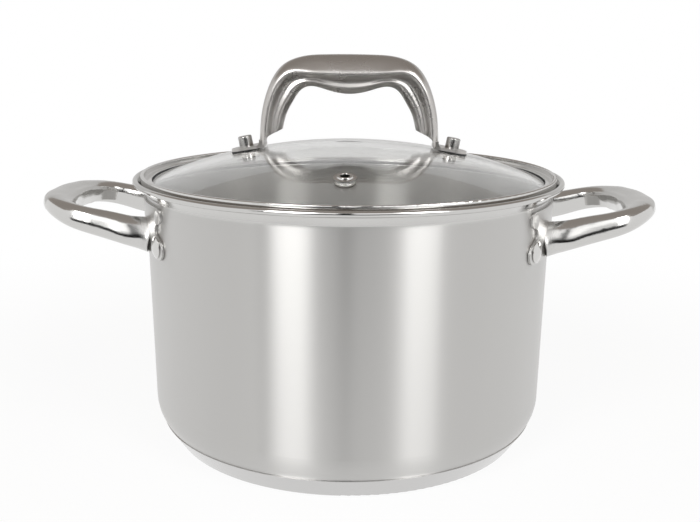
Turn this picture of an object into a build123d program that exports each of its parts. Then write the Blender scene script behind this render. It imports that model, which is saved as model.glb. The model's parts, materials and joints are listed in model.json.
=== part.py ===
# Two-handled stew pot in stainless steel, with a domed glass lid.
#
# Millimetres, +Z up. The origin is the centre of the flat underside. The two loop handles lie
# along X, the lid's bridge handle lies along X too, and the lid's steam vent faces -Y.
# The pot and everything riveted to it is one body, and the lid lifts straight up off it.

import os
from math import asin, atan2, cos, degrees, radians, sin, sqrt, tan

from build123d import *

os.makedirs("parts", exist_ok=True)

# ---------------------------------------------------------------- driving dimensions

# pot shell
wall_radius = 120.0          # outside of the wall, at the shoulder
wall_thickness = 0.8
wall_draft = 0.94            # degrees that the wall leans outwards
shoulder_height = 149.5      # where the wall turns out into the neck
shoulder_fillet = 1.6
corner_height = 26.2         # where the wall turns in to the base
corner_radius = 24.2
seam_height = 12.9           # upper edge of the base capsule
lip_bead_radius = 1.7        # rolled lip
lip_reach = 5.65             # bead centre beyond the wall
lip_rise = 6.7               # bead centre above the shoulder

# heat-spreading base
capsule_sheet = 0.6
capsule_foot_fillet = 2.4
core_thickness = 5.0
core_edge_height = 9.0

# side handles
loop_tilt = 13.5             # degrees that a loop rises outwards
loop_root_drop = 19.7        # middle of the loop, where it meets the wall, below the shoulder
loop_hub_reach = 23.5        # from the wall to the start of the loop's bend
loop_tip_reach = 38.6        # from there to the outermost point
loop_half = 49.5
loop_squareness = 2.3
loop_hole_tip_reach = 18.5
loop_hole_half = 38.3
loop_hole_squareness = 3.0
loop_arm_length = 34.0       # straight arms, running on inside the wall until they are trimmed
loop_half_heights = (5.2, 6.4, 9.4)     # at the tip, half way along and at the root
loop_leans = (5.0, -7.0, -30.0)         # degrees that the section's outer side is turned down
loop_outer_squareness = 2.3
loop_finger_squareness = 2.7
loop_flat = 1.0              # narrow flat at the section's widest line
loop_sections = 21
loop_bend_share = 0.7        # share of the sections, from the tip, that lie in the bend
loop_trim_margin = 20.0      # the trimming cone runs past the foot plate by this much

# foot plates and rivets of the side handles
foot_thickness = 1.2
foot_fit = 0.05              # gap between a foot plate and the wall
rivet_azimuth = 30.4         # degrees each side of the handle's middle
rivet_drop = 5.3             # rivets below the middle of the loop's root
rivet_shank_radius = 3.0
rivet_hole_clearance = 0.1
rivet_head_radius = 6.0
rivet_head_height = 2.3
rivet_head_edge = 0.5
rivet_tail_radius = 5.0
rivet_tail_height = 1.5
rivet_tail_seat = 0.15       # the flat tail stands this far off the curved wall
ear_radius = 8.8
ear_drop = 6.7               # lower edge of the foot plate below the rivets
ear_shoulder = 2.5           # where the ear's edge starts to slope to the waist, above the rivet
waist_rise = 10.5
waist_reach = -5.5
lobe_reach = 8.4             # upper lobe beyond the rivet's centre line
lobe_rise = 15.0             # where the lobe's edge starts to slope to the waist
foot_rise = 22.7             # upper edge of the foot plate above the rivets
web_reach = -22.0            # inner end of an ear's outline, inside the web between the arms
web_half = 52.0              # half of the web's width
ear_blank_depth = 8.0        # blanks of the ears and the web, before they are bent to the wall
web_blank_depth = 30.0
foot_blank_margin = 5.0
hole_cutter_length = 20.0
lobe_fillet = 4.3
waist_fillet = 3.0
ear_fillet = 5.7
dish_reach = 3.2             # middle of the lobe's dish beyond the rivet's centre line
dish_rise = 16.8
dish_radius = 12.0
dish_depth = 0.75

# glass dome
dome_radius = 325.0
glass_thickness = 4.0
glass_seat_rise = 1.4        # lower edge of the glass above the pot's shoulder
glass_edge_gap = 1.9         # glass's edge to the band's seat

# steel rim band of the lid and its gasket
rim_sheet = 0.5
rim_overhang = 2.7           # outside of the band beyond the wall
rim_crest_rise = 10.5        # top of the band above the pot's shoulder
rim_crest_width = 2.2
rim_lip_cover = 1.3          # how far the band laps over the glass
rim_flange_cover = 2.9       # how far it laps under the glass
rim_seat_gap = 0.3           # band to the pot's neck
rim_corner_fillet = 0.55
gasket_thickness = 0.8

# steam vent
vent_inset = 35.5            # vent's axis from the glass's edge
vent_bore_radius = 2.55
vent_barrel_radius = 3.3
vent_flange_radius = 6.1
vent_flange_thickness = 0.6
vent_lip_height = 0.9
vent_seal_thickness = 0.5
vent_washer_radius = 5.6
vent_washer_thickness = 0.7
vent_curl = 1.2              # the barrel's end, curled under the washer
vent_lip_foot = 1.0          # thickness of the lip at the flange and at its top
vent_lip_top = 0.6
vent_seal_inset = 0.2
fit_clearance = 0.05

# lid handle feet and their screws
foot_reach = 60.9            # screw axis from the lid's axis, on the glass
tab_overhang = 9.4           # end of the tab beyond the screw's axis
tab_half_width = 7.6
tab_thickness = 1.6
pad_back = 6.9               # inner end of the pad from the screw's axis
pad_thickness = 0.8
glass_hole_radius = 4.2
bush_wall = 2.0
screw_radius = 2.0
screw_clearance = 0.15
screw_head_radius = 3.8
screw_head_height = 2.4
screw_socket_radius = 1.5
screw_socket_depth = 1.4
screw_grip = 4.6             # thread inside the cap nut
screw_tip_gap = 0.3
screw_crown_radius = 2.4
screw_face_margin = 0.6      # flat ring round the socket
cap_nut_radius = 4.15
cap_nut_height = 6.2
cap_nut_fillet = 0.8
soft_washer_radius = 10.5
soft_washer_thickness = 1.6
steel_washer_radius = 7.0
steel_washer_thickness = 1.0

# lid handle arch: half of it, from the crown's middle down one leg. Each station gives the outer
# point and the inner point, as reach from the lid's axis and height above the glass's apex, half the
# depth of the outer strap, half the depth of the inner rib and how far the crown rises over the
# strap's edge.
arch_stations = [
    ((0.0, 50.9), (0.0, 28.1), 11.6, 7.6, 10.1),
    ((15.0, 50.7), (12.0, 30.0), 11.5, 7.5, 9.7),
    ((28.5, 49.3), (22.5, 32.4), 11.2, 7.3, 7.9),
    ((38.2, 45.2), (28.6, 30.0), 10.8, 7.0, 4.8),
    ((44.9, 37.4), (32.8, 24.2), 10.4, 6.8, 3.2),
    ((49.0, 28.0), (35.8, 19.0), 10.1, 6.6, 2.6),
    ((51.7, 17.3), (38.2, 12.8), 9.9, 6.5, 2.5),
    ((52.9, 6.8), (40.0, 6.2), 9.6, 6.4, 2.4),
    ((53.1, -5.7), (41.6, -4.7), 9.2, 6.2, 2.4),
]
strap_edge = 1.9             # thickness of the strap's rounded edge
strap_flat = 1.2             # narrow flat along the crown and along the rib
strap_thickness = 2.9        # strap alone, below the leg's diagonal end
tab_bend_radius = 3.0
tab_bend_sink = 0.25         # the bend's lower end below the tab's top
tab_bend_margin = 0.4        # the bend is narrower than the strap by this much each side
leg_end_inner = (39.0, 7.4)  # the leg's rib ends on a slant between these, measured as the stations
leg_end_outer = (47.2, 3.4)
leg_gap_low = -17.0
leg_gap_inset = 5.0          # the gap's inner corner, from the leg's inner end
leg_gap_half = 15.0

# ---------------------------------------------------------------- shared geometry

draft = radians(wall_draft)
floor_height = capsule_sheet + core_thickness
loop_root_height = shoulder_height - loop_root_drop
rivet_height = loop_root_height - rivet_drop
foot_top = rivet_height + foot_rise
foot_bottom = rivet_height - ear_drop
foot_face = foot_fit + foot_thickness


def wall_radius_at(height):
    """Outside radius of the drafted wall."""
    return wall_radius - (shoulder_height - height) * tan(draft)


def wall_plane(azimuth, height, outward=0.0):
    """Plane on the wall's outer face (or outward from it), its normal pointing out of the pot."""
    turn = radians(azimuth)
    normal = Vector(cos(draft) * cos(turn), cos(draft) * sin(turn), -sin(draft))
    radius = wall_radius_at(height)
    touch = Vector(radius * cos(turn), radius * sin(turn), height)
    return Plane(origin=touch + normal * outward, x_dir=(-sin(turn), cos(turn), 0), z_dir=normal)


# Centres of the two arcs that turn the wall into the floor. The first is tangent to the wall, and
# the second is tangent to the first at the capsule's seam and to the flat floor.
corner_centre = Vector(
    wall_radius_at(corner_height) - corner_radius * cos(draft), corner_height + corner_radius * sin(draft)
)
seam_dip = asin((corner_centre.Y - seam_height) / corner_radius)
seam_normal = Vector(cos(seam_dip), -sin(seam_dip))
seam_point = corner_centre + seam_normal * corner_radius
heel_radius = (seam_height - floor_height) / (1 - sin(seam_dip))
heel_centre = seam_point - seam_normal * heel_radius


def shell_lines(inset):
    """Floor, heel, corner and wall of the shell's section, moved inwards by inset."""
    heel_sweep = 90 - degrees(seam_dip)
    corner_sweep = degrees(seam_dip) - wall_draft
    floor = Line((0, floor_height + inset), (heel_centre.X, floor_height + inset))
    heel = CenterArc(heel_centre, heel_radius - inset, 270, heel_sweep)
    corner = CenterArc(corner_centre, corner_radius - inset, -degrees(seam_dip), corner_sweep)
    shoulder = (wall_radius - inset / cos(draft), shoulder_height)
    wall = Line(corner @ 1, shoulder)
    return floor, heel, corner, wall


# The neck is a cone that meets the rolled bead at a tangent on its inner side.
bead_centre = Vector(wall_radius + lip_reach, shoulder_height + lip_rise)
inner_shoulder = Vector(wall_radius - wall_thickness / cos(draft), shoulder_height)
to_bead = bead_centre - inner_shoulder
neck_angle = atan2(to_bead.Y, to_bead.X) + asin(lip_bead_radius / to_bead.length)
neck_length = sqrt(to_bead.length**2 - lip_bead_radius**2)
neck_direction = Vector(cos(neck_angle), sin(neck_angle))


def neck_radius_at(height):
    """Inside radius of the neck's cone."""
    return inner_shoulder.X + (height - shoulder_height) / tan(neck_angle)


# The band seats on the neck's cone, and the glass lies inside the band.
rim_radius = wall_radius + rim_overhang
rim_crest_height = shoulder_height + rim_crest_rise
cone_gap = (rim_seat_gap + rim_sheet / 2) / sin(neck_angle)
glass_low = shoulder_height + glass_seat_rise
glass_radius = neck_radius_at(glass_low) - cone_gap - glass_edge_gap
dome_centre_height = glass_low - sqrt((dome_radius - glass_thickness) ** 2 - glass_radius**2)
dome_apex = dome_centre_height + dome_radius
vent_reach = glass_radius - vent_inset


def dome_plane(reach, azimuth):
    """Plane on the glass's outer face and square to it, at a reach from the axis."""
    lean, turn = asin(reach / dome_radius), radians(azimuth)
    normal = Vector(sin(lean) * cos(turn), sin(lean) * sin(turn), cos(lean))
    return Plane(
        origin=Vector(0, 0, dome_centre_height) + normal * dome_radius,
        x_dir=(-sin(turn), cos(turn), 0),
        z_dir=normal,
    )


def glass_height_at(radius, below=0.0):
    """Height of the glass's outer face, or of the sphere that far below it."""
    return dome_centre_height + sqrt((dome_radius - below) ** 2 - radius**2)


def cap_sag(radius, sphere):
    """How far a sphere falls away at a radius from where it is touched."""
    return sphere - sqrt(sphere**2 - radius**2)


def cap_sphere(radius, rise):
    """Radius of the sphere whose cap has this radius and rise."""
    return (radius**2 + rise**2) / (2 * rise)


def axial_section(plane):
    """Plane that holds the given plane's normal as its Y, for a profile turned about that normal."""
    return Plane(origin=plane.origin, x_dir=plane.x_dir, z_dir=plane.x_dir.cross(plane.z_dir))


rivet_azimuths = {
    "left_front": 180 + rivet_azimuth,
    "left_rear": 180 - rivet_azimuth,
    "right_front": -rivet_azimuth,
    "right_rear": rivet_azimuth,
}
foot_azimuths = {"left": 180, "right": 0}

# ---------------------------------------------------------------- pot body

with BuildPart() as pot_body:
    with BuildSketch(Plane.XZ) as body_section:
        with BuildLine():
            outside = shell_lines(0)
            inside = shell_lines(wall_thickness)
            neck_inner = Line(inner_shoulder, inner_shoulder + neck_direction * neck_length)
            neck_outer = Line(outside[3] @ 1, outside[3] @ 1 + neck_direction * neck_length)
            Line(neck_inner @ 1, neck_outer @ 1)
            Line(outside[0] @ 0, inside[0] @ 0)
        make_face()
        shoulder_corners = body_section.vertices().sort_by_distance(outside[3] @ 1)[:2]
        fillet(shoulder_corners, shoulder_fillet)
        with Locations(bead_centre):
            Circle(lip_bead_radius)
    revolve(axis=Axis.Z)
    with Locations(*[wall_plane(azimuth, rivet_height).location for azimuth in rivet_azimuths.values()]):
        Cylinder(rivet_shank_radius + rivet_hole_clearance, 6 * wall_thickness, mode=Mode.SUBTRACT)
pot_body.part.label = "pot_body"
export_step(pot_body.part, "parts/pot_body.step")

# ---------------------------------------------------------------- base: capsule and core

capsule_edge = seam_point + seam_normal * capsule_sheet
capsule_foot = Vector(capsule_edge.X - capsule_edge.Y * tan(seam_dip), 0)
inner_foot = Vector(seam_point.X - (seam_point.Y - capsule_sheet) * tan(seam_dip), capsule_sheet)

with BuildPart() as base_capsule:
    with BuildSketch(Plane.XZ) as capsule_section:
        with BuildLine():
            capsule_corners = (capsule_foot, capsule_edge, seam_point, inner_foot, (0, capsule_sheet))
            Polyline((0, 0), *capsule_corners, close=True)
        make_face()
        fillet(capsule_section.vertices().sort_by_distance(capsule_foot)[0], capsule_foot_fillet)
        inner_corner = capsule_section.vertices().sort_by_distance(inner_foot)[0]
        fillet(inner_corner, capsule_foot_fillet - capsule_sheet)
    revolve(axis=Axis.Z)
base_capsule.part.label = "base_capsule"
export_step(base_capsule.part, "parts/base_capsule.step")

with BuildPart() as base_core:
    core_edge = Vector(seam_point.X - (seam_point.Y - core_edge_height) * tan(seam_dip), core_edge_height)
    with BuildSketch(Plane.XZ) as core_section:
        with BuildLine():
            Polyline((0, capsule_sheet), inner_foot, core_edge, (0, core_edge_height), close=True)
        make_face()
        fillet(core_section.vertices().sort_by_distance(inner_foot)[0], capsule_foot_fillet - capsule_sheet)
        with BuildLine():
            shell_bottom = shell_lines(0)
            Line(shell_bottom[3] @ 1, (0, shoulder_height))
            Line((0, shoulder_height), shell_bottom[0] @ 0)
        make_face(mode=Mode.SUBTRACT)
    revolve(axis=Axis.Z)
base_core.part.label = "base_core"
export_step(base_core.part, "parts/base_core.step")

# ---------------------------------------------------------------- side handles

tilt = radians(loop_tilt)
loop_along = Vector(cos(tilt), 0, sin(tilt))
loop_up = Vector(-sin(tilt), 0, cos(tilt))
hub = Vector(wall_radius, 0, loop_root_height) + loop_along * (loop_hub_reach / cos(tilt))


def graded(sizes, share):
    """Value on the parabola through three sizes, at a share of the way from the first to the last."""
    tip, middle, root = sizes
    tip_part = tip * (1 - share) * (1 - 2 * share)
    middle_part = 4 * middle * share * (1 - share)
    root_part = root * share * (2 * share - 1)
    return tip_part + middle_part + root_part


def oval_point(angle, reach, half, squareness):
    """Point of a squared oval in the loop's own plane, measured from the hub."""
    along, across = abs(cos(angle)) / reach, abs(sin(angle)) / half
    radius = (along**squareness + across**squareness) ** (-1 / squareness)
    return hub + loop_along * (radius * cos(angle)) + Vector(0, radius * sin(angle), 0)


def loop_edges(share):
    """Outer and inner edge points of the loop, from the tip (0) to the roots (-1 and 1)."""
    angle = radians(90 * max(-1, min(1, share / loop_bend_share)))
    outer = oval_point(angle, loop_tip_reach, loop_half, loop_squareness)
    inner = oval_point(angle, loop_hole_tip_reach, loop_hole_half, loop_hole_squareness)
    back = loop_along * (loop_arm_length * max(0, (abs(share) - loop_bend_share) / (1 - loop_bend_share)))
    return outer - back, inner - back


def loop_section(half_width, half_height):
    """Rounded section in the current sketch, fuller on its finger side, with a narrow flat each side."""
    flat = loop_flat / 2
    for way in (-1, 1):
        points = []
        for step in range(9):
            angle = radians(22.5 * step)
            roundness = loop_outer_squareness if step < 4 else loop_finger_squareness
            x = abs(cos(angle)) ** (2 / roundness) * half_width
            y = abs(sin(angle)) ** (2 / roundness) * (half_height - flat) + flat
            points.append((x if step < 4 else -x, way * y))
        Spline(points, tangents=((0, way), (0, -way)))
        Line((way * half_width, -flat), (way * half_width, flat))


with BuildPart() as foot_plate:
    for side in (-1, 1):
        with BuildSketch(wall_plane(side * rivet_azimuth, rivet_height)):
            with BuildLine():
                edge = FilletPolyline(
                    (side * web_reach, foot_top - rivet_height),
                    (side * lobe_reach, foot_top - rivet_height),
                    (side * lobe_reach, lobe_rise),
                    (side * waist_reach, waist_rise),
                    (side * ear_radius, ear_shoulder),
                    (side * ear_radius, foot_bottom - rivet_height),
                    (side * web_reach, foot_bottom - rivet_height),
                    radius=(lobe_fillet, lobe_fillet, waist_fillet, ear_fillet, ear_fillet),
                )
                Line(edge @ 1, edge @ 0)
            make_face()
        extrude(amount=ear_blank_depth, both=True)
    with BuildSketch(Plane.YZ.offset(wall_radius)):
        with Locations((0, (foot_top + foot_bottom) / 2)):
            Rectangle(2 * web_half, foot_top - foot_bottom)
    extrude(amount=web_blank_depth, both=True)
    with BuildSketch(Plane.XZ):
        with BuildLine():
            low, high = foot_bottom - foot_blank_margin, foot_top + foot_blank_margin
            Polyline(
                (wall_radius_at(low) + foot_fit, low),
                (wall_radius_at(low) + foot_face, low),
                (wall_radius_at(high) + foot_face, high),
                (wall_radius_at(high) + foot_fit, high),
                close=True,
            )
        make_face()
    revolve(axis=Axis.Z, mode=Mode.INTERSECT)
    for side in (-1, 1):
        dish_azimuth = rivet_azimuth + degrees(dish_reach / wall_radius)
        dish_centre = foot_face + dish_radius - dish_depth
        with Locations(wall_plane(side * dish_azimuth, rivet_height + dish_rise, dish_centre).location):
            Sphere(dish_radius, mode=Mode.SUBTRACT)

with BuildPart() as side_handle_right:
    for step in range(loop_sections):
        share = 2 * step / (loop_sections - 1) - 1
        outer, inner = loop_edges(share)
        outward = (outer - inner).normalized()
        lean = radians(graded(loop_leans, abs(share)))
        across = outward * cos(lean) - loop_up * sin(lean)
        middle = Plane(origin=(outer + inner) / 2, x_dir=across, z_dir=outward.cross(loop_up))
        with BuildSketch(middle):
            with BuildLine():
                loop_section((outer - inner).length / 2, graded(loop_half_heights, abs(share)))
            make_face()
    loft()
    with BuildSketch(Plane.XZ):
        with BuildLine():
            low, high = foot_bottom - loop_trim_margin, foot_top + loop_trim_margin
            Polyline(
                (0, low),
                (wall_radius_at(low) + foot_fit, low),
                (wall_radius_at(high) + foot_fit, high),
                (0, high),
                close=True,
            )
        make_face()
    revolve(axis=Axis.Z, mode=Mode.SUBTRACT)
    add(foot_plate.part)
    for side in (-1, 1):
        rivet_spot = wall_plane(side * rivet_azimuth, rivet_height)
        with Locations(rivet_spot.location):
            Cylinder(rivet_shank_radius + rivet_hole_clearance, hole_cutter_length, mode=Mode.SUBTRACT)
side_handle_right.part.label = "side_handle_right"
export_step(side_handle_right.part, "parts/side_handle_right.step")

with BuildPart() as side_handle_left:
    add(mirror(side_handle_right.part, about=Plane.YZ))
side_handle_left.part.label = "side_handle_left"
export_step(side_handle_left.part, "parts/side_handle_left.step")

# ---------------------------------------------------------------- rivets

for place, azimuth in rivet_azimuths.items():
    wall = wall_plane(azimuth, rivet_height)
    head_seat = foot_face
    tail_seat = -wall_thickness - rivet_tail_seat
    with BuildPart() as rivet:
        with BuildSketch(axial_section(wall)):
            with BuildLine():
                edge_top = (rivet_head_radius, head_seat + rivet_head_edge)
                side_line = Line((rivet_head_radius, head_seat), edge_top)
                head_top = (0, head_seat + rivet_head_height)
                head_dome = cap_sphere(rivet_head_radius, rivet_head_height - rivet_head_edge)
                RadiusArc(side_line @ 1, head_top, -head_dome)
                tail_top = (0, tail_seat - rivet_tail_height)
                tail_edge = (rivet_tail_radius, tail_seat)
                RadiusArc(tail_edge, tail_top, cap_sphere(rivet_tail_radius, rivet_tail_height))
                Line(head_top, tail_top)
                Polyline(
                    tail_edge,
                    (rivet_shank_radius, tail_seat),
                    (rivet_shank_radius, head_seat),
                    side_line @ 0,
                )
            make_face()
        revolve(axis=Axis(wall.origin, wall.z_dir))
    rivet.part.label = f"rivet_{place}"
    export_step(rivet.part, f"parts/rivet_{place}.step")

# ---------------------------------------------------------------- lid: glass dome


def glass_lines(clearance):
    """Section of the glass in the current line builder, grown all round by a clearance."""
    edge = glass_radius + clearance
    arcs = []
    for radius in (dome_radius + clearance, dome_radius - glass_thickness - clearance):
        sweep = degrees(asin(edge / radius))
        arcs.append(CenterArc((0, dome_centre_height), radius, 90 - sweep, sweep))
    for end in (0, 1):
        Line(arcs[0] @ end, arcs[1] @ end)


with BuildPart() as lid_glass:
    with BuildSketch(Plane.XZ):
        with BuildLine():
            glass_lines(0)
        make_face()
    revolve(axis=Axis.Z)
    with Locations(*[dome_plane(foot_reach, azimuth).location for azimuth in foot_azimuths.values()]):
        Cylinder(glass_hole_radius, 4 * glass_thickness, mode=Mode.SUBTRACT)
    with Locations(dome_plane(vent_reach, -90).location):
        Cylinder(glass_hole_radius, 4 * glass_thickness, mode=Mode.SUBTRACT)
lid_glass.part.label = "lid_glass"
export_step(lid_glass.part, "parts/lid_glass.step")

# ---------------------------------------------------------------- lid: steel rim band and gasket

# The band's middle line: a lip over the glass, up the inside of the crest, over it, down to the
# seat on the neck's cone, in along that cone and under the glass as a flange.
half_sheet = rim_sheet / 2
lip_radius = glass_radius - rim_lip_cover
flange_radius = glass_radius - rim_flange_cover
outer_line = rim_radius - half_sheet
inner_line = rim_radius - rim_crest_width + half_sheet
seat_height = shoulder_height + (outer_line + cone_gap - inner_shoulder.X) * tan(neck_angle)
under_height = glass_height_at(glass_radius, glass_thickness) - gasket_thickness - half_sheet
band_points = [
    (lip_radius, glass_height_at(lip_radius) + gasket_thickness + half_sheet),
    (inner_line, glass_height_at(glass_radius) + gasket_thickness + half_sheet),
    (inner_line, rim_crest_height - half_sheet),
    (outer_line, rim_crest_height - half_sheet),
    (outer_line, seat_height),
    (neck_radius_at(under_height) - cone_gap, under_height),
    (flange_radius, glass_height_at(flange_radius, glass_thickness) - gasket_thickness - half_sheet),
]
with BuildPart() as lid_rim_band:
    with BuildSketch(Plane.XZ):
        with BuildLine():
            band_line = FilletPolyline(*band_points, radius=rim_corner_fillet)
        trace(band_line, line_width=rim_sheet)
    revolve(axis=Axis.Z)
lid_rim_band.part.label = "lid_rim_band"
export_step(lid_rim_band.part, "parts/lid_rim_band.step")

# The gasket fills the space between the band and the glass's edge.
clear_sheet = half_sheet + fit_clearance
lip_end, lip_corner = Vector(*band_points[0]), Vector(*band_points[1])
flange_corner, flange_end = Vector(*band_points[5]), Vector(*band_points[6])
with BuildPart() as lid_rim_gasket:
    with BuildSketch(Plane.XZ):
        with BuildLine():
            Polyline(
                (lip_end.X, glass_height_at(lip_end.X) - gasket_thickness),
                (lip_end.X, lip_end.Y - clear_sheet),
                (lip_corner.X, lip_corner.Y - clear_sheet),
                (flange_corner.X - 2 * clear_sheet, flange_corner.Y + 2 * clear_sheet),
                (flange_end.X, flange_end.Y + clear_sheet),
                (flange_end.X, flange_end.Y + clear_sheet + 2 * gasket_thickness),
                close=True,
            )
        make_face()
        with BuildLine():
            glass_lines(fit_clearance)
        make_face(mode=Mode.SUBTRACT)
    revolve(axis=Axis.Z)
lid_rim_gasket.part.label = "lid_rim_gasket"
export_step(lid_rim_gasket.part, "parts/lid_rim_gasket.step")

# ---------------------------------------------------------------- lid: steam vent

vent = dome_plane(vent_reach, -90)
under_glass = -glass_thickness
washer_top = under_glass - vent_seal_thickness
washer_bottom = washer_top - vent_washer_thickness
flange_low = vent_seal_thickness
flange_high = flange_low + vent_flange_thickness

with BuildPart() as vent_eyelet:
    with BuildSketch(axial_section(vent)) as eyelet_section:
        with BuildLine():
            Polyline(
                (vent_bore_radius, flange_high + vent_lip_height),
                (vent_bore_radius, washer_bottom - vent_flange_thickness),
                (vent_barrel_radius + vent_curl, washer_bottom - vent_flange_thickness),
                (vent_barrel_radius + vent_curl, washer_bottom),
                (vent_barrel_radius, washer_bottom),
                (vent_barrel_radius, flange_low),
                (vent_flange_radius, flange_low),
                (vent_flange_radius, flange_high),
                (vent_barrel_radius + vent_lip_foot, flange_high),
                (vent_barrel_radius + vent_lip_top, flange_high + vent_lip_height),
                close=True,
            )
        make_face()
        lip_corners = eyelet_section.vertices().sort_by(Axis.Y)[-2:]
        fillet(lip_corners, vent_lip_height / 2.5)
    revolve(axis=Axis(vent.origin, vent.z_dir))
vent_eyelet.part.label = "vent_eyelet"
export_step(vent_eyelet.part, "parts/vent_eyelet.step")

with BuildPart() as vent_seal:
    with BuildSketch(axial_section(vent)):
        with BuildLine():
            bore = vent_barrel_radius + fit_clearance
            hole = glass_hole_radius - fit_clearance
            rest = vent_seal_thickness / 5
            Polyline(
                (bore, washer_top),
                (bore, flange_low),
                (vent_flange_radius - vent_seal_inset, flange_low),
                (vent_flange_radius - vent_seal_inset, rest),
                (hole, rest),
                (hole, under_glass - rest),
                (vent_washer_radius - vent_seal_inset, under_glass - rest),
                (vent_washer_radius - vent_seal_inset, washer_top),
                close=True,
            )
        make_face()
    revolve(axis=Axis(vent.origin, vent.z_dir))
vent_seal.part.label = "vent_seal"
export_step(vent_seal.part, "parts/vent_seal.step")

with BuildPart() as vent_washer:
    with BuildSketch(axial_section(vent)):
        with Locations(((vent_barrel_radius + fit_clearance + vent_washer_radius) / 2, washer_top)):
            Rectangle(
                vent_washer_radius - vent_barrel_radius - fit_clearance,
                vent_washer_thickness,
                align=(Align.CENTER, Align.MAX),
            )
    revolve(axis=Axis(vent.origin, vent.z_dir))
vent_washer.part.label = "vent_washer"
export_step(vent_washer.part, "parts/vent_washer.step")

# ---------------------------------------------------------------- lid: bridge handle


def arch_section(thickness, strap_half, rib_half, crown):
    """Section with its origin on the crown: a crowned strap, hollow flanks and a narrower rib."""
    edge = -crown - strap_edge
    hollow = edge - (thickness + edge) * 0.42
    rib = -thickness + min(3.6, thickness * 0.26)
    flat = strap_flat / 2
    for side in (-1, 1):
        Spline(
            (0, side * flat),
            (-crown * 0.28, side * strap_half * 0.6),
            (-crown * 0.78, side * strap_half * 0.9),
            (edge, side * strap_half),
            (hollow, side * rib_half * 0.9),
            (rib, side * rib_half),
            (-thickness + 0.5, side * rib_half * 0.55),
            (-thickness, side * flat),
            tangents=((0, side), (0, -side)),
        )
    for level in (0, -thickness):
        Line((level, -flat), (level, flat))


mirrored_stations = [
    ((-outer[0], outer[1]), (-inner[0], inner[1]), *rest) for outer, inner, *rest in arch_stations[:0:-1]
]
strap_inside = arch_stations[-1][0][0] - strap_thickness
strap_outside = arch_stations[-1][0][0]
tab_end_centre = foot_reach + tab_overhang - tab_half_width
pad_top_radius = dome_radius + pad_thickness
tab_top_radius = pad_top_radius + tab_thickness

apex_plane = Plane(origin=(0, 0, dome_apex), x_dir=(1, 0, 0), z_dir=(0, -1, 0))
with BuildPart() as leg_gap:
    with BuildSketch(apex_plane):
        with BuildLine():
            gap_inner = leg_end_inner[0] - leg_gap_inset
            leg_end = Spline(
                (gap_inner, leg_end_inner[1] + 1.2),
                leg_end_inner,
                leg_end_outer,
                (strap_inside, leg_end_outer[1] - 4.2),
                tangents=((1, -0.1), (0.1, -1)),
            )
            Polyline(leg_end @ 1, (strap_inside, leg_gap_low), (gap_inner, leg_gap_low), leg_end @ 0)
        make_face()
    extrude(amount=leg_gap_half, both=True)


def tab_height_at(reach):
    """Height of the tab's upper face."""
    return glass_height_at(reach) + pad_thickness + tab_thickness


tab_heel = strap_inside - 0.3
bend_low = strap_outside + tab_bend_radius
bend_back = strap_inside + 1
strap_half_width = arch_stations[-1][2]
with BuildPart() as handle_foot:
    with BuildSketch():
        with BuildLine():
            Polyline(
                (tab_end_centre, -tab_half_width),
                (strap_outside + 1, -strap_half_width),
                (tab_heel, -strap_half_width),
                (tab_heel, strap_half_width),
                (strap_outside + 1, strap_half_width),
                (tab_end_centre, tab_half_width),
            )
            CenterArc((tab_end_centre, 0), tab_half_width, -90, 180)
        make_face()
    extrude(amount=2 * dome_apex)
    with Locations((0, 0, dome_centre_height)):
        Sphere(tab_top_radius, mode=Mode.INTERSECT)
        Sphere(pad_top_radius, mode=Mode.SUBTRACT)
    with BuildSketch(Plane.XZ):
        with BuildLine():
            bend = RadiusArc(
                (strap_outside - 0.1, tab_height_at(strap_outside) + tab_bend_radius),
                (bend_low, tab_height_at(bend_low) - tab_bend_sink),
                -tab_bend_radius,
            )
            Polyline(
                bend @ 1,
                (bend_low, tab_height_at(bend_low) - tab_thickness / 2),
                (bend_back, tab_height_at(bend_back) - tab_thickness / 2),
                (bend_back, tab_height_at(strap_outside) + tab_bend_radius),
                bend @ 0,
            )
        make_face()
    extrude(amount=strap_half_width - tab_bend_margin, both=True)

with BuildPart() as lid_handle:
    for outer, inner, strap_half, rib_half, crown in mirrored_stations + arch_stations:
        crown_point, belly_point = apex_plane.from_local_coords(outer), apex_plane.from_local_coords(inner)
        inward = (belly_point - crown_point).normalized()
        section = Plane(origin=crown_point, x_dir=-inward, z_dir=Vector(0, 1, 0).cross(-inward))
        with BuildSketch(section):
            with BuildLine():
                arch_section((belly_point - crown_point).length, strap_half, rib_half, crown)
            make_face()
    loft()
    for half_turn in (0, 180):
        turned = Rot(0, 0, half_turn)
        add(turned * leg_gap.part, mode=Mode.SUBTRACT)
    with Locations((0, 0, dome_centre_height)):
        Sphere((pad_top_radius + tab_top_radius) / 2, mode=Mode.SUBTRACT)
    for half_turn in (0, 180):
        turned = Rot(0, 0, half_turn)
        add(turned * handle_foot.part)
    with Locations(*[dome_plane(foot_reach, azimuth).location for azimuth in foot_azimuths.values()]):
        Cylinder(screw_radius + screw_clearance, hole_cutter_length, mode=Mode.SUBTRACT)
lid_handle.part.label = "lid_handle"
export_step(lid_handle.part, "parts/lid_handle.step")

# ---------------------------------------------------------------- lid: handle fasteners

nut_seat = pad_thickness + tab_thickness
soft_bottom = under_glass - soft_washer_thickness
steel_bottom = soft_bottom - steel_washer_thickness
hole_radius = screw_radius + screw_clearance
soft_sag = cap_sag(soft_washer_radius, dome_radius - glass_thickness)


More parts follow.
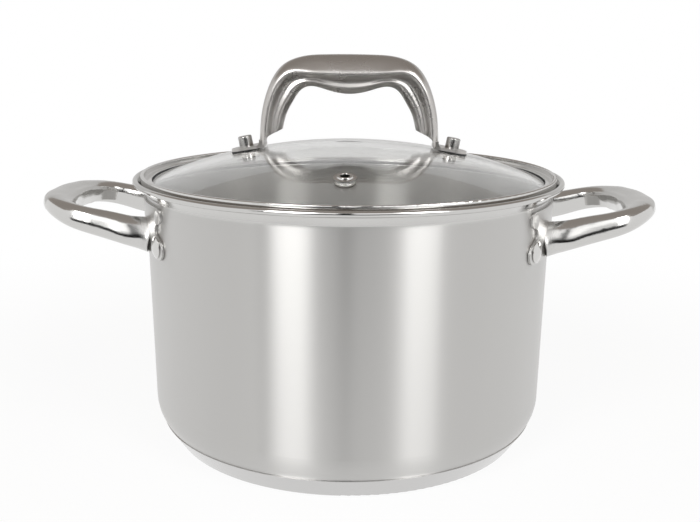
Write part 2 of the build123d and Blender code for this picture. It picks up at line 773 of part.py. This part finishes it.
with BuildPart() as pad_blank:
    with BuildSketch():
        with BuildLine():
            Polyline(
                (tab_end_centre, -tab_half_width),
                (foot_reach - pad_back, -tab_half_width),
                (foot_reach - pad_back, tab_half_width),
                (tab_end_centre, tab_half_width),
            )
            CenterArc((tab_end_centre, 0), tab_half_width, -90, 180)
        make_face()
    extrude(amount=2 * dome_apex)
    with Locations((0, 0, dome_centre_height)):
        Sphere(pad_top_radius, mode=Mode.INTERSECT)
        Sphere(dome_radius, mode=Mode.SUBTRACT)
    with Locations(dome_plane(foot_reach, 0).location):
        Cylinder(hole_radius, hole_cutter_length, mode=Mode.SUBTRACT)

for place, azimuth in foot_azimuths.items():
    foot = dome_plane(foot_reach, azimuth)
    foot_axis = Axis(foot.origin, foot.z_dir)

    with BuildPart() as handle_gasket:
        add(Rot(0, 0, azimuth) * pad_blank.part)
    handle_gasket.part.label = f"handle_gasket_{place}"
    export_step(handle_gasket.part, f"parts/handle_gasket_{place}.step")

    with BuildPart() as cap_nut:
        with BuildSketch(axial_section(foot)) as nut_section:
            with BuildLine():
                Polyline(
                    (0, nut_seat + cap_nut_height),
                    (cap_nut_radius, nut_seat + cap_nut_height),
                    (cap_nut_radius, nut_seat),
                    (screw_radius + fit_clearance, nut_seat),
                    (screw_radius + fit_clearance, nut_seat + screw_grip + screw_tip_gap),
                    (0, nut_seat + screw_grip + screw_tip_gap),
                    close=True,
                )
            make_face()
            fillet(nut_section.vertices().group_by(Axis.Y)[-1].sort_by(Axis.X)[-1], cap_nut_fillet)
        revolve(axis=foot_axis)
    cap_nut.part.label = f"cap_nut_{place}"
    export_step(cap_nut.part, f"parts/cap_nut_{place}.step")

    with BuildPart() as screw:
        with BuildSketch(axial_section(foot)):
            with BuildLine():
                head_bottom = steel_bottom - screw_head_height
                edge_height = screw_head_height * 0.4
                rim_point = (screw_head_radius, steel_bottom - edge_height)
                face_edge = (screw_socket_radius + screw_face_margin, head_bottom)
                crown_line = RadiusArc(rim_point, face_edge, screw_crown_radius)
                Polyline(
                    crown_line @ 1,
                    (0, head_bottom),
                    (0, nut_seat + screw_grip),
                    (screw_radius, nut_seat + screw_grip),
                    (screw_radius, steel_bottom),
                    (screw_head_radius, steel_bottom),
                    rim_point,
                )
            make_face()
        revolve(axis=foot_axis)
        socket = Plane(origin=foot.origin + foot.z_dir * head_bottom, x_dir=foot.x_dir, z_dir=foot.z_dir)
        with BuildSketch(socket):
            RegularPolygon(screw_socket_radius, 6)
        extrude(amount=screw_socket_depth, mode=Mode.SUBTRACT)
    screw.part.label = f"screw_{place}"
    export_step(screw.part, f"parts/screw_{place}.step")

    with BuildPart() as glass_bush:
        with BuildSketch(axial_section(foot)):
            with Locations((hole_radius, -glass_thickness / 2)):
                Rectangle(bush_wall, glass_thickness - 0.1, align=(Align.MIN, Align.CENTER))
        revolve(axis=foot_axis)
    glass_bush.part.label = f"glass_bush_{place}"
    export_step(glass_bush.part, f"parts/glass_bush_{place}.step")

    with BuildPart() as soft_washer:
        with BuildSketch(axial_section(foot)):
            with BuildLine():
                Polyline(
                    (hole_radius, under_glass),
                    (hole_radius, soft_bottom),
                    (soft_washer_radius, soft_bottom),
                    (soft_washer_radius, under_glass - soft_sag),
                    (hole_radius, under_glass),
                )
            make_face()
        revolve(axis=foot_axis)
    soft_washer.part.label = f"soft_washer_{place}"
    export_step(soft_washer.part, f"parts/soft_washer_{place}.step")

    with BuildPart() as steel_washer:
        with BuildSketch(axial_section(foot)):
            with Locations((hole_radius, soft_bottom)):
                Rectangle(
                    steel_washer_radius - hole_radius,
                    steel_washer_thickness,
                    align=(Align.MIN, Align.MAX),
                )
        revolve(axis=foot_axis)
    steel_washer.part.label = f"steel_washer_{place}"
    export_step(steel_washer.part, f"parts/steel_washer_{place}.step")
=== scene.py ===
# Two-handled stew pot in stainless steel with a domed glass lid: finishes, studio and camera.
#
# Metres, +Z up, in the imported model's frame: the origin is the centre of the pot's underside, the
# side handles lie along X and the lid's steam vent faces -Y.

import json
from math import cos, radians, sin

import bpy
from mathutils import Matrix, Vector


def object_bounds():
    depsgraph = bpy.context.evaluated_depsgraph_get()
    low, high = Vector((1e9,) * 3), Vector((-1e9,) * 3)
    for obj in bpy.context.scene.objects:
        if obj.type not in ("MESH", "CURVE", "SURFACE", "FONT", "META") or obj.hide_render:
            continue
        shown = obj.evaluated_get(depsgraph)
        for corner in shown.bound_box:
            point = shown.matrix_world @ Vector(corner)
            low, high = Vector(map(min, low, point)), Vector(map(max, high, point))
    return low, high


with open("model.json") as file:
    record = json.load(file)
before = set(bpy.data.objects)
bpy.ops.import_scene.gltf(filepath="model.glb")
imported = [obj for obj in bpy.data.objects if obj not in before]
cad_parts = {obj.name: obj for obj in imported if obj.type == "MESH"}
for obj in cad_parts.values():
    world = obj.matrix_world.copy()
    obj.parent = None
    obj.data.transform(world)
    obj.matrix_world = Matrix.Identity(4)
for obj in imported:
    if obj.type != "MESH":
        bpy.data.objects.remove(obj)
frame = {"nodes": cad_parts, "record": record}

cad_low, cad_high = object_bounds()
millimetre = 0.001
per_millimetre = 1 / millimetre

nodes = frame["nodes"]

# Heights between which the pot's brushed wall turns into its buffed lip.
lip_start, lip_end = 148 * millimetre, 153 * millimetre
# Reaches from the pot's axis between which a side handle's satin plate turns into its buffed loop.
plate_reach, loop_reach = 122 * millimetre, 127 * millimetre

# Grain, in cells to a millimetre. Real brushing and a real mould's matt are finer than this: they
# are drawn as coarse as they need to show.
brush_lines = 0.9 * per_millimetre
brush_draw = 0.02  # makes each line some 7 mm long round the wall; the less, the longer
mould_grain = 1.5 * per_millimetre
buffing_haze = 0.06 * per_millimetre  # the buffing wheel's passes, some 17 mm wide
haze_spread = 1.25  # how far the haze carries the roughness, up and down
pressing_grain = 0.4 * per_millimetre  # the pressed blank's grain, 2.5 mm

# A Mix node's sockets for colours share their names with its others, so they go by number.
mix_first, mix_second, mix_result = 6, 7, 2


# ------------------------------------------------------------------ colours and node trees


def hex_colour(code):
    """An sRGB hex colour as the linear RGBA that a socket takes."""
    channels = [int(code[place : place + 2], 16) / 255 for place in (1, 3, 5)]
    linear = [c / 12.92 if c <= 0.04045 else ((c + 0.055) / 1.055) ** 2.4 for c in channels]
    return (*linear, 1.0)


white = hex_colour("#FFFFFF")


def add_node(tree, kind, settings=None, links=None, values=None):
    """Adds a node, sets its properties and socket values, and links sockets into it."""
    node = tree.nodes.new(kind)
    for name, value in (settings or {}).items():
        setattr(node, name, value)
    for socket, value in (values or {}).items():
        node.inputs[socket].default_value = value
    for socket, source in (links or {}).items():
        tree.links.new(source, node.inputs[socket])
    return node


def new_material(name):
    """An empty node material and its tree."""
    material = bpy.data.materials.new(name)
    material.use_nodes = True
    material.node_tree.nodes.clear()
    return material, material.node_tree


def surfaced(material, shader):
    """The material, with this shader as its surface."""
    add_node(material.node_tree, "ShaderNodeOutputMaterial", links={"Surface": shader})
    return material


def plan_of(tree, place):
    """A point's place in plan, with no height."""
    parts = add_node(tree, "ShaderNodeSeparateXYZ", links={"Vector": place}).outputs
    return add_node(
        tree, "ShaderNodeCombineXYZ", links={"X": parts["X"], "Y": parts["Y"]}
    ).outputs["Vector"]


def reach_of(tree, place):
    """A point's distance from the pot's axis."""
    return add_node(
        tree, "ShaderNodeVectorMath", {"operation": "LENGTH"}, {0: plan_of(tree, place)}
    ).outputs["Value"]


def brushed_lines(tree, place):
    """Noise drawn out round the axis: fine lines that follow the brushing."""
    parts = add_node(tree, "ShaderNodeSeparateXYZ", links={"Vector": place}).outputs
    angle = add_node(
        tree, "ShaderNodeMath", {"operation": "ARCTAN2"}, {0: parts["Y"], 1: parts["X"]}
    ).outputs["Value"]
    drawn = add_node(
        tree, "ShaderNodeMath", {"operation": "MULTIPLY"}, {0: angle}, {1: brush_draw}
    ).outputs["Value"]
    along = add_node(
        tree,
        "ShaderNodeCombineXYZ",
        links={"X": drawn, "Y": reach_of(tree, place), "Z": parts["Z"]},
    ).outputs["Vector"]
    return add_node(
        tree,
        "ShaderNodeTexNoise",
        links={"Vector": along},
        values={"Scale": brush_lines, "Detail": 3.0, "Roughness": 0.6},
    ).outputs["Fac"]


# ------------------------------------------------------------------ finishes


def brushed_stainless():
    """18/10 stainless sheet: brushed round the wall, which smears highlights up and down, and
    buffed bright at the turned-out lip. Inside the pot the base colour is darker: painted shade
    standing in for the shade within the pot."""
    material, tree = new_material("brushed_stainless")
    place = add_node(tree, "ShaderNodeTexCoord").outputs["Object"]
    around = add_node(
        tree,
        "ShaderNodeVectorMath",
        {"operation": "CROSS_PRODUCT"},
        {1: place},
        {0: (0.0, 0.0, 1.0)},
    ).outputs["Vector"]
    height = add_node(tree, "ShaderNodeSeparateXYZ", links={"Vector": place}).outputs["Z"]
    lip = {"From Min": lip_start, "From Max": lip_end}
    roughness = add_node(
        tree,
        "ShaderNodeMapRange",
        links={"Value": height},
        values={**lip, "To Min": 0.34, "To Max": 0.1},
    ).outputs["Result"]
    brushing = add_node(
        tree,
        "ShaderNodeMapRange",
        links={"Value": height},
        values={**lip, "To Min": 1.0, "To Max": 0.0},
    ).outputs["Result"]
    # Below 0 where the surface faces the axis, which is inside the pot.
    outward = add_node(
        tree,
        "ShaderNodeVectorMath",
        {"operation": "DOT_PRODUCT"},
        {0: add_node(tree, "ShaderNodeNewGeometry").outputs["Normal"], 1: plan_of(tree, place)},
    ).outputs["Value"]
    outside = add_node(
        tree,
        "ShaderNodeMapRange",
        links={"Value": outward},
        values={"From Min": -50 * millimetre, "From Max": 0.0},
    ).outputs["Result"]
    # Painted shade: a darker base colour on the surfaces that face the axis, standing in for the
    # shade inside the pot.
    painted_inside_shade = add_node(
        tree,
        "ShaderNodeMix",
        {"data_type": "RGBA"},
        {"Factor": outside},
        {mix_first: hex_colour("#B2B1AE"), mix_second: hex_colour("#C9C8C6")},
    ).outputs[mix_result]
    bump = add_node(
        tree,
        "ShaderNodeBump",
        links={"Height": brushed_lines(tree, place)},
        values={"Strength": 0.05, "Distance": 0.05 * millimetre},
    ).outputs["Normal"]
    shader = add_node(
        tree,
        "ShaderNodeBsdfPrincipled",
        links={
            "Tangent": around,
            "Normal": bump,
            "Roughness": roughness,
            "Anisotropic": brushing,
            "Base Color": painted_inside_shade,
        },
        values={"Metallic": 1.0, "Anisotropic Rotation": 0.25},
    )
    return surfaced(material, shader.outputs["BSDF"])


def hazed_metal(name, code, grain, detail, brightest, dullest):
    """Metal whose roughness wanders between two values in blotches of one grain."""
    material, tree = new_material(name)
    place = add_node(tree, "ShaderNodeTexCoord").outputs["Object"]
    haze = add_node(
        tree,
        "ShaderNodeTexNoise",
        links={"Vector": place},
        values={"Scale": grain, "Detail": detail},
    ).outputs["Fac"]
    roughness = add_node(
        tree,
        "ShaderNodeMapRange",
        links={"Value": haze},
        values={"To Min": brightest, "To Max": dullest},
    ).outputs["Result"]
    shader = add_node(
        tree,
        "ShaderNodeBsdfPrincipled",
        links={"Roughness": roughness},
        values={"Base Color": hex_colour(code), "Metallic": 1.0},
    )
    return surfaced(material, shader.outputs["BSDF"])


def buffed_stainless(name, code, roughness):
    """Stainless steel buffed without a grain: it shows the studio almost sharply where it is
    polished, and as broad soft tones where it is left satin."""
    brightest, dullest = roughness / haze_spread, roughness * haze_spread
    return hazed_metal(name, code, buffing_haze, 2.0, brightest, dullest)


def pressed_aluminium():
    """Pressed aluminium disc, sealed in the base: a dull, even pale grey."""
    return hazed_metal("pressed_aluminium", "#C4C6C8", pressing_grain, 3.0, 0.35, 0.55)


def cast_handles():
    """Cast loop handles: buffed bright along the loop, left satin on the plates at the wall."""
    material, tree = new_material("buffed_stainless_handles")
    place = add_node(tree, "ShaderNodeTexCoord").outputs["Object"]
    roughness = add_node(
        tree,
        "ShaderNodeMapRange",
        links={"Value": reach_of(tree, place)},
        values={"From Min": plate_reach, "From Max": loop_reach, "To Min": 0.38, "To Max": 0.15},
    ).outputs["Result"]
    shader = add_node(
        tree,
        "ShaderNodeBsdfPrincipled",
        links={"Roughness": roughness},
        values={"Base Color": hex_colour("#CCCBC9"), "Metallic": 1.0},
    )
    return surfaced(material, shader.outputs["BSDF"])


def tempered_glass():
    """Clear soda-lime glass, moulded smooth. Lamps shine through it, so the pot's inside is lit."""
    material, tree = new_material("tempered_glass")
    glass = add_node(
        tree,
        "ShaderNodeBsdfPrincipled",
        values={
            "Base Color": hex_colour("#F8F8F7"),
            "Roughness": 0.0,
            "IOR": 1.5,
            "Transmission Weight": 1.0,
        },
    )
    clear = add_node(tree, "ShaderNodeBsdfTransparent", values={"Color": hex_colour("#EEEEED")})
    path = add_node(tree, "ShaderNodeLightPath")
    blend = add_node(
        tree,
        "ShaderNodeMixShader",
        links={
            0: path.outputs["Is Shadow Ray"],
            1: glass.outputs["BSDF"],
            2: clear.outputs["BSDF"],
        },
    )
    return surfaced(material, blend.outputs["Shader"])


def silicone(name, code, roughness, transmission):
    """Moulded silicone rubber, with the soft sheen of a matt mould."""
    material, tree = new_material(name)
    place = add_node(tree, "ShaderNodeTexCoord").outputs["Object"]
    mould = add_node(
        tree,
        "ShaderNodeTexNoise",
        links={"Vector": place},
        values={"Scale": mould_grain, "Detail": 2.0},
    ).outputs["Fac"]
    bump = add_node(
        tree,
        "ShaderNodeBump",
        links={"Height": mould},
        values={"Strength": 0.1, "Distance": 0.1 * millimetre},
    ).outputs["Normal"]
    shader = add_node(
        tree,
        "ShaderNodeBsdfPrincipled",
        links={"Normal": bump},
        values={
            "Base Color": hex_colour(code),
            "Roughness": roughness,
            "IOR": 1.41,
            "Transmission Weight": transmission,
        },
    )
    return surfaced(material, shader.outputs["BSDF"])


finish_of_slot = {
    "brushed_steel": brushed_stainless(),
    "polished_steel": buffed_stainless("polished_stainless", "#D2D1CF", 0.12),
    "handle_steel": cast_handles(),
    "satin_steel": buffed_stainless("satin_stainless_grip", "#C0BDBA", 0.28),
    "plain_steel": buffed_stainless("bright_drawn_stainless", "#B9B8B6", 0.22),
    "base_aluminium": pressed_aluminium(),
    "lid_glass": tempered_glass(),
    "black_silicone": silicone("black_silicone", "#1B1B1C", 0.45, 0.0),
    "clear_silicone": silicone("translucent_silicone", "#D8D6D0", 0.4, 0.55),
}
base_finish = buffed_stainless("satin_stainless_base", "#C7C6C5", 0.2)
slot_of_node = {part["node"]: part["material_slot"] for part in frame["record"]["subparts"]}
for name, node in nodes.items():
    finish = base_finish if name == "base_capsule" else finish_of_slot[slot_of_node[name]]
    for slot in node.material_slots:
        slot.material = finish

# ------------------------------------------------------------------ studio


def path_share(tree, *rays):
    """1 for any of these kinds of ray, and 0 for the others."""
    path = add_node(tree, "ShaderNodeLightPath")
    share = path.outputs[rays[0]]
    for ray in rays[1:]:
        share = add_node(
            tree, "ShaderNodeMath", {"operation": "MAXIMUM"}, {0: share, 1: path.outputs[ray]}
        ).outputs["Value"]
    return share


def studio_world():
    """White to the eye, in metal and through glass, and a plainer grey light otherwise."""
    world = bpy.data.worlds.new("studio")
    bpy.context.scene.world = world
    world.use_nodes = True
    tree = world.node_tree
    tree.nodes.clear()
    light, backdrop = (
        add_node(tree, "ShaderNodeBackground", values={"Color": tone, "Strength": 1.0})
        for tone in (hex_colour("#C8C8C8"), white)
    )
    seen = path_share(tree, "Is Camera Ray", "Is Glossy Ray", "Is Transmission Ray")
    blend = add_node(
        tree,
        "ShaderNodeMixShader",
        links={0: seen, 1: light.outputs["Background"], 2: backdrop.outputs["Background"]},
    )
    add_node(tree, "ShaderNodeOutputWorld", links={"Surface": blend.outputs["Shader"]})


studio_world()


def new_plane(name, material, **shape):
    """A plane of the studio, with its finish."""
    bpy.ops.object.select_all(action="DESELECT")
    bpy.ops.mesh.primitive_plane_add(**shape)
    plane = bpy.context.object
    plane.name = name
    plane.data.materials.append(material)
    return plane


def even_tone(name, code, strength):
    """A card's even tone, which glows by itself."""
    material, tree = new_material(name)
    glow = add_node(
        tree, "ShaderNodeEmission", values={"Color": hex_colour(code), "Strength": strength}
    )
    return surfaced(material, glow.outputs["Emission"])


def white_paper():
    """Matt white paper: all white to the eye far from the pot, and with a share of the pot's soft
    shadow near it. Metal and glass show it plain white."""
    near, far = 0.2, 0.6
    near_white, far_white = 0.9, 1.0
    material, tree = new_material("matt_white_paper")
    place = add_node(tree, "ShaderNodeTexCoord").outputs["Object"]
    paper = add_node(
        tree, "ShaderNodeBsdfDiffuse", values={"Color": hex_colour("#F2F2F2"), "Roughness": 0.0}
    )
    glow = add_node(tree, "ShaderNodeEmission", values={"Color": white, "Strength": 1.0})
    clear = add_node(
        tree,
        "ShaderNodeMapRange",
        {"interpolation_type": "SMOOTHSTEP"},
        {"Value": reach_of(tree, place)},
        {"From Min": near, "From Max": far, "To Min": near_white, "To Max": far_white},
    ).outputs["Result"]
    eye_share = add_node(
        tree,
        "ShaderNodeMath",
        {"operation": "MULTIPLY"},
        {0: path_share(tree, "Is Camera Ray"), 1: clear},
    ).outputs["Value"]
    mirrored = path_share(tree, "Is Glossy Ray", "Is Transmission Ray")
    share = add_node(
        tree, "ShaderNodeMath", {"operation": "MAXIMUM"}, {0: eye_share, 1: mirrored}
    ).outputs["Value"]
    blend = add_node(
        tree,
        "ShaderNodeMixShader",
        links={0: share, 1: paper.outputs["BSDF"], 2: glow.outputs["Emission"]},
    )
    return surfaced(material, blend.outputs["Shader"])


floor = new_plane("floor", white_paper(), size=30.0, location=(0, 0, 0))


def card(name, code, size, place, turn, strength=1.0):
    """An even card hung in the studio for the metal to show; it casts no shadow."""
    board = new_plane(
        name,
        even_tone(name, code, strength),
        size=1.0,
        location=place,
        rotation=[radians(angle) for angle in turn],
    )
    board.scale = (*size, 1.0)
    board.visible_camera = False
    board.visible_transmission = False
    board.visible_shadow = False


level, upright = (0, 0, 0), (90, 0, 0)

# What the metal and the glass show. A brown-grey ceiling runs over the pot to the pale wall behind
# it. In front, a dark mat lies on the floor before a black cloth, and over them hangs a bright
# silk, parted down the middle by the camera's dark boom.
card("ceiling", "#A39C96", (6.0, 5.9), (0, 1.55, 1.7), level)
card("front_cloth", "#161616", (4.0, 0.6), (0, -1.9, 0.3), upright)
card("front_mat", "#3A3938", (0.8, 1.05), (0.03, -1.375, 0.003), level)
card("silk", "#FFFFFF", (2.6, 0.9), (0, -1.6, 1.3), upright, 1.7)
card("camera_boom", "#202020", (0.2, 1.2), (0, -1.5, 1.1), upright)
card("backdrop", "#D6D5D4", (7.0, 1.9), (0, 2.6, 0.95), upright)

# Both strip lamps stand at one distance from the pot's axis and hang at one height.
lamp_distance = 1.4
lamp_height = 0.95
strip_length = 1.0


def strip_lamp(name, azimuth, width, power):
    """An upright strip lamp facing the pot's axis; azimuth is degrees from the front towards +X."""
    lamp = bpy.data.lights.new(name, "AREA")
    lamp.shape = "RECTANGLE"
    lamp.size = width
    lamp.size_y = strip_length
    lamp.energy = power
    turn = radians(azimuth)
    place = Vector((lamp_distance * sin(turn), -lamp_distance * cos(turn), lamp_height))
    aim = Vector((0, 0, cad_high.z / 2)) - place
    box = bpy.data.objects.new(name, lamp)
    box.location = place
    box.rotation_euler = aim.to_track_quat("-Z", "Y").to_euler()
    box.visible_camera = False
    bpy.context.scene.collection.objects.link(box)


strip_lamp("left_strip", -29.6, 0.55, 11.0)
strip_lamp("right_strip", 41.1, 0.53, 9.5)

# ------------------------------------------------------------------ camera


def studio_camera():
    """Eye a little above the lid and to its right, looking down at the middle of the pot."""
    eye = (0.001166, -0.567247, 0.239014)
    downward, lean, to_the_right = 13.419, 0.45, 1.2  # degrees
    lens = bpy.data.cameras.new("camera")
    lens.sensor_width = 36.0
    lens.lens = 48.73
    camera = bpy.data.objects.new("camera", lens)
    tilt = (
        Matrix.Rotation(radians(90 - downward), 4, "X")
        @ Matrix.Rotation(radians(lean), 4, "Z")
    )
    place = Matrix.Translation(eye) @ tilt
    camera.matrix_world = Matrix.Rotation(radians(to_the_right), 4, "Z") @ place
    bpy.context.scene.collection.objects.link(camera)
    bpy.context.scene.camera = camera


studio_camera()
bpy.context.scene.view_settings.view_transform = "Standard"
